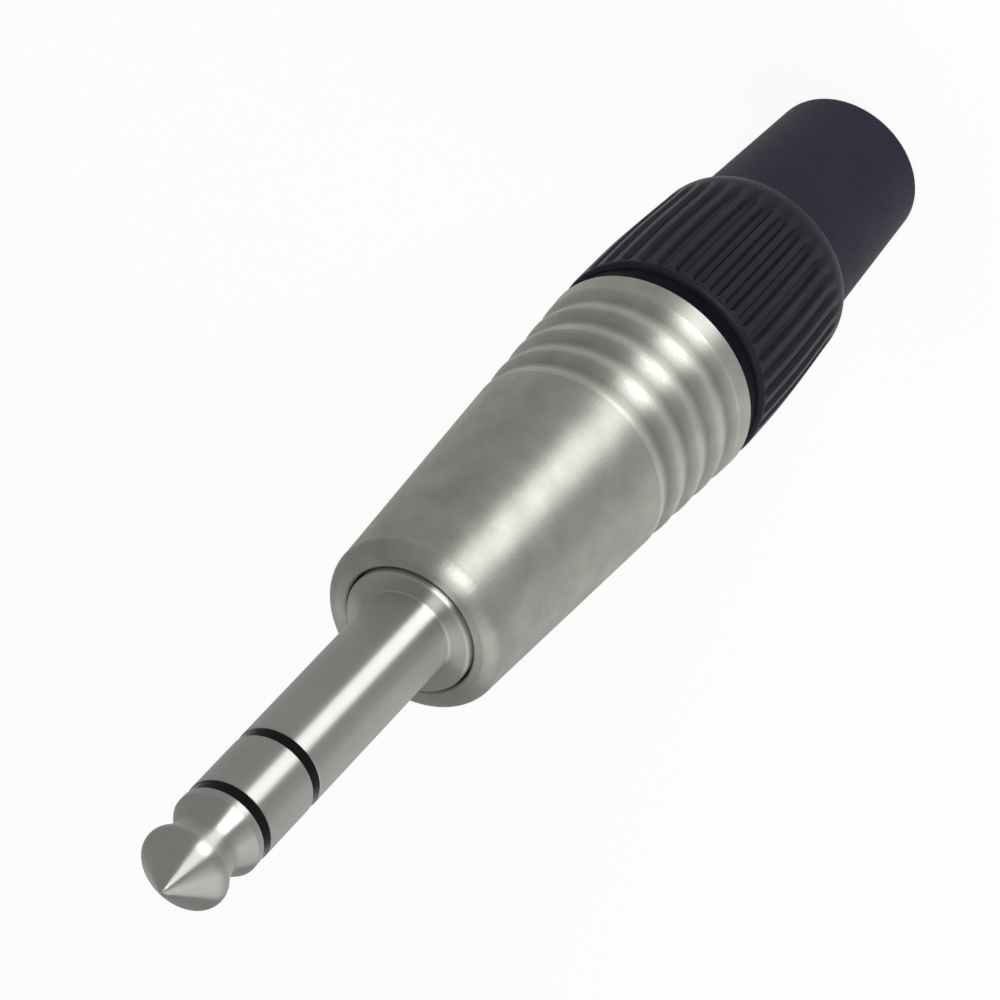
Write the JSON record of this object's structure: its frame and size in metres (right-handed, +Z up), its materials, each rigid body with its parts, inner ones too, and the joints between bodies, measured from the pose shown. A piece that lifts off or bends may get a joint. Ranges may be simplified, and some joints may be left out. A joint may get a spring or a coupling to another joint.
{
  "type": "stereo jack plug",
  "caption": "Straight stereo jack plug with a nickel finger, tapered metal shell, ribbed black bushing and rubber boot; the shell unscrews from the bushing",
  "frame": {"origin": "centre of the boot's flat end, where the plug's axis meets the floor", "axes": "+Z runs up the plug's axis from the cable end to the tip; +X and +Y are across it, with the ring terminal on the +X side"},
  "size_m": [0.0164, 0.0164, 0.0927],
  "materials": {
    "boot_rubber": "smooth matte dark grey rubber",
    "bushing_plastic": "satin black moulded plastic",
    "chuck_plastic": "natural grey moulded plastic",
    "shell_metal": "satin nickel plate on a zinc die casting",
    "insert_plastic": "black glass-filled plastic",
    "contact_metal": "polished nickel plate on brass",
    "insulator_plastic": "smooth black plastic",
    "terminal_metal": "tinned brass sheet"
  },
  "bodies": {
    "rear": {"boot": "boot_rubber", "bushing": "bushing_plastic"},
    "clamp": {"chuck": "chuck_plastic"},
    "front": {"shell": "shell_metal", "insert_body": "insert_plastic", "sleeve_contact": "contact_metal", "ring_contact": "contact_metal", "tip_contact": "contact_metal", "ring_insulator": "insulator_plastic", "tip_insulator": "insulator_plastic", "ground_terminal": "terminal_metal", "ring_terminal": "terminal_metal", "tip_terminal": "terminal_metal", "ring_washer": "insulator_plastic", "tip_washer": "insulator_plastic"}
  },
  "joints": [
    {"name": "shell_turn", "type": "hinge", "parent": "rear", "child": "clamp", "pos_m": [0, 0, 0.02975], "axis": [0, 0, 1], "range_deg": [0, 2160]},
    {"name": "shell_rise", "type": "slide", "parent": "clamp", "child": "front", "axis": [0, 0, 1], "range_m": [0, 0.006]}
  ],
  "couplings": [
    {"joint": "shell_turn", "follows": "shell_rise", "rad_per_m": 6283.2}
  ]
}
